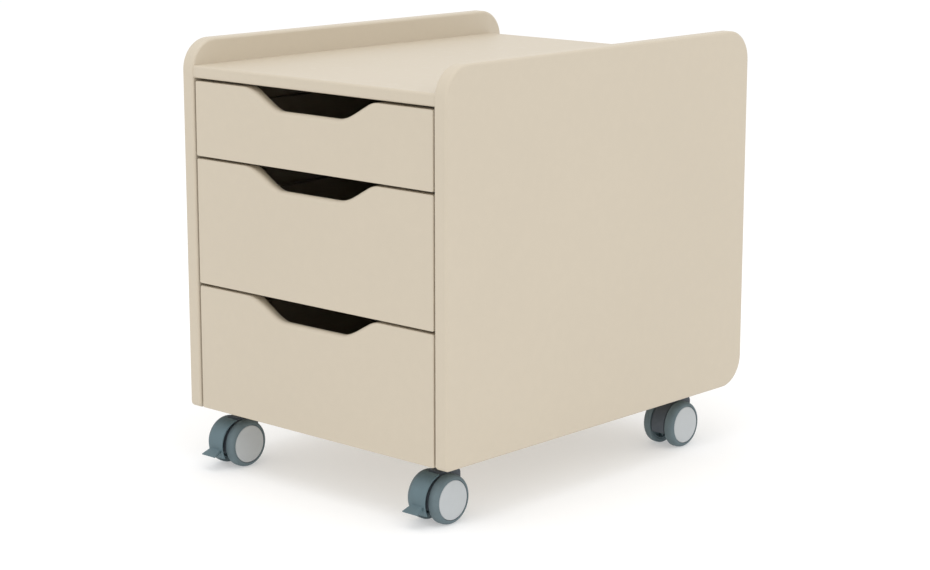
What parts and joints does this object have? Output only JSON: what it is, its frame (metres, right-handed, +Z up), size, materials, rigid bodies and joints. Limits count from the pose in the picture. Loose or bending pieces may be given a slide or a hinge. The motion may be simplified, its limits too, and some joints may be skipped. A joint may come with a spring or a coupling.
{
  "type": "mobile drawer pedestal",
  "caption": "Low board pedestal on castors with inset drawers that open by finger scoops and raised, rounded side panels.",
  "frame": {"origin": "on the floor, under the middle of the bounding box", "axes": "+Z up, +Y from the drawer fronts to the back, +X to the right of someone facing the drawers"},
  "size_m": [0.372, 0.4876, 0.452],
  "materials": {
    "lacquered_board": "beige satin lacquer on smooth fibreboard",
    "drawer_box_board": "pale melamine-faced board",
    "hardboard": "thin lacquered hardboard",
    "runner_steel": "zinc-plated rolled steel",
    "pin_steel": "bright turned steel",
    "castor_shell": "blue-grey moulded nylon",
    "castor_wheel": "dark blue-grey soft tread"
  },
  "bodies": {
    "cabinet": {"left_side_panel": "lacquered_board", "right_side_panel": "lacquered_board", "top_panel": "lacquered_board", "bottom_panel": "lacquered_board", "back_panel": "lacquered_board", "bottom_drawer_left_cabinet_runner": "runner_steel", "bottom_drawer_right_cabinet_runner": "runner_steel", "middle_drawer_left_cabinet_runner": "runner_steel", "middle_drawer_right_cabinet_runner": "runner_steel", "top_drawer_left_cabinet_runner": "runner_steel", "top_drawer_right_cabinet_runner": "runner_steel", "castor_front_left_socket": "pin_steel", "castor_front_left_stem": "pin_steel", "castor_front_right_socket": "pin_steel", "castor_front_right_stem": "pin_steel", "castor_rear_left_socket": "pin_steel", "castor_rear_left_stem": "pin_steel", "castor_rear_right_socket": "pin_steel", "castor_rear_right_stem": "pin_steel"},
    "bottom_drawer": {"bottom_drawer_front": "lacquered_board", "bottom_drawer_left_side": "drawer_box_board", "bottom_drawer_right_side": "drawer_box_board", "bottom_drawer_back": "drawer_box_board", "bottom_drawer_floor": "hardboard", "bottom_drawer_left_drawer_runner": "runner_steel", "bottom_drawer_right_drawer_runner": "runner_steel"},
    "middle_drawer": {"middle_drawer_front": "lacquered_board", "middle_drawer_left_side": "drawer_box_board", "middle_drawer_right_side": "drawer_box_board", "middle_drawer_back": "drawer_box_board", "middle_drawer_floor": "hardboard", "middle_drawer_left_drawer_runner": "runner_steel", "middle_drawer_right_drawer_runner": "runner_steel"},
    "top_drawer": {"top_drawer_front": "lacquered_board", "top_drawer_left_side": "drawer_box_board", "top_drawer_right_side": "drawer_box_board", "top_drawer_back": "drawer_box_board", "top_drawer_floor": "hardboard", "top_drawer_left_drawer_runner": "runner_steel", "top_drawer_right_drawer_runner": "runner_steel"},
    "castor_front_left": {"castor_front_left_body": "castor_shell", "castor_front_left_axle": "pin_steel"},
    "castor_front_left_left_wheel": {"castor_front_left_left_wheel": "castor_wheel"},
    "castor_front_left_right_wheel": {"castor_front_left_right_wheel": "castor_wheel"},
    "castor_front_left_brake_lever": {"castor_front_left_brake_lever": "castor_shell"},
    "castor_front_right": {"castor_front_right_body": "castor_shell", "castor_front_right_axle": "pin_steel"},
    "castor_front_right_left_wheel": {"castor_front_right_left_wheel": "castor_wheel"},
    "castor_front_right_right_wheel": {"castor_front_right_right_wheel": "castor_wheel"},
    "castor_front_right_brake_lever": {"castor_front_right_brake_lever": "castor_shell"},
    "castor_rear_left": {"castor_rear_left_body": "castor_shell", "castor_rear_left_axle": "pin_steel"},
    "castor_rear_left_left_wheel": {"castor_rear_left_left_wheel": "castor_wheel"},
    "castor_rear_left_right_wheel": {"castor_rear_left_right_wheel": "castor_wheel"},
    "castor_rear_right": {"castor_rear_right_body": "castor_shell", "castor_rear_right_axle": "pin_steel"},
    "castor_rear_right_left_wheel": {"castor_rear_right_left_wheel": "castor_wheel"},
    "castor_rear_right_right_wheel": {"castor_rear_right_right_wheel": "castor_wheel"}
  },
  "joints": [
    {"name": "bottom_drawer_slide", "type": "slide", "parent": "cabinet", "child": "bottom_drawer", "axis": [0, -1, 0], "range_m": [0, 0.3]},
    {"name": "middle_drawer_slide", "type": "slide", "parent": "cabinet", "child": "middle_drawer", "axis": [0, -1, 0], "range_m": [0, 0.3]},
    {"name": "top_drawer_slide", "type": "slide", "parent": "cabinet", "child": "top_drawer", "axis": [0, -1, 0], "range_m": [0, 0.3]},
    {"name": "castor_front_left_swivel", "type": "hinge", "parent": "cabinet", "child": "castor_front_left", "pos_m": [-0.147, -0.18945, 0.0565], "axis": [0, 0, 1], "continuous": true},
    {"name": "castor_front_left_left_wheel_spin", "type": "hinge", "parent": "castor_front_left", "child": "castor_front_left_left_wheel", "pos_m": [-0.147, -0.20295, 0.025], "axis": [1, 0, 0], "continuous": true},
    {"name": "castor_front_left_right_wheel_spin", "type": "hinge", "parent": "castor_front_left", "child": "castor_front_left_right_wheel", "pos_m": [-0.147, -0.20295, 0.025], "axis": [1, 0, 0], "continuous": true},
    {"name": "castor_front_left_brake_lever_press", "type": "hinge", "parent": "castor_front_left", "child": "castor_front_left_brake_lever", "pos_m": [-0.147, -0.20295, 0.025], "axis": [1, 0, 0], "range_deg": [0, 12]},
    {"name": "castor_front_right_swivel", "type": "hinge", "parent": "cabinet", "child": "castor_front_right", "pos_m": [0.147, -0.18945, 0.0565], "axis": [0, 0, 1], "continuous": true},
    {"name": "castor_front_right_left_wheel_spin", "type": "hinge", "parent": "castor_front_right", "child": "castor_front_right_left_wheel", "pos_m": [0.147, -0.20295, 0.025], "axis": [1, 0, 0], "continuous": true},
    {"name": "castor_front_right_right_wheel_spin", "type": "hinge", "parent": "castor_front_right", "child": "castor_front_right_right_wheel", "pos_m": [0.147, -0.20295, 0.025], "axis": [1, 0, 0], "continuous": true},
    {"name": "castor_front_right_brake_lever_press", "type": "hinge", "parent": "castor_front_right", "child": "castor_front_right_brake_lever", "pos_m": [0.147, -0.20295, 0.025], "axis": [1, 0, 0], "range_deg": [0, 12]},
    {"name": "castor_rear_left_swivel", "type": "hinge", "parent": "cabinet", "child": "castor_rear_left", "pos_m": [-0.147, 0.18325, 0.0565], "axis": [0, 0, 1], "continuous": true},
    {"name": "castor_rear_left_left_wheel_spin", "type": "hinge", "parent": "castor_rear_left", "child": "castor_rear_left_left_wheel", "pos_m": [-0.147, 0.16975, 0.025], "axis": [1, 0, 0], "continuous": true},
    {"name": "castor_rear_left_right_wheel_spin", "type": "hinge", "parent": "castor_rear_left", "child": "castor_rear_left_right_wheel", "pos_m": [-0.147, 0.16975, 0.025], "axis": [1, 0, 0], "continuous": true},
    {"name": "castor_rear_right_swivel", "type": "hinge", "parent": "cabinet", "child": "castor_rear_right", "pos_m": [0.147, 0.18325, 0.0565], "axis": [0, 0, 1], "continuous": true},
    {"name": "castor_rear_right_left_wheel_spin", "type": "hinge", "parent": "castor_rear_right", "child": "castor_rear_right_left_wheel", "pos_m": [0.147, 0.16975, 0.025], "axis": [1, 0, 0], "continuous": true},
    {"name": "castor_rear_right_right_wheel_spin", "type": "hinge", "parent": "castor_rear_right", "child": "castor_rear_right_right_wheel", "pos_m": [0.147, 0.16975, 0.025], "axis": [1, 0, 0], "continuous": true}
  ]
}
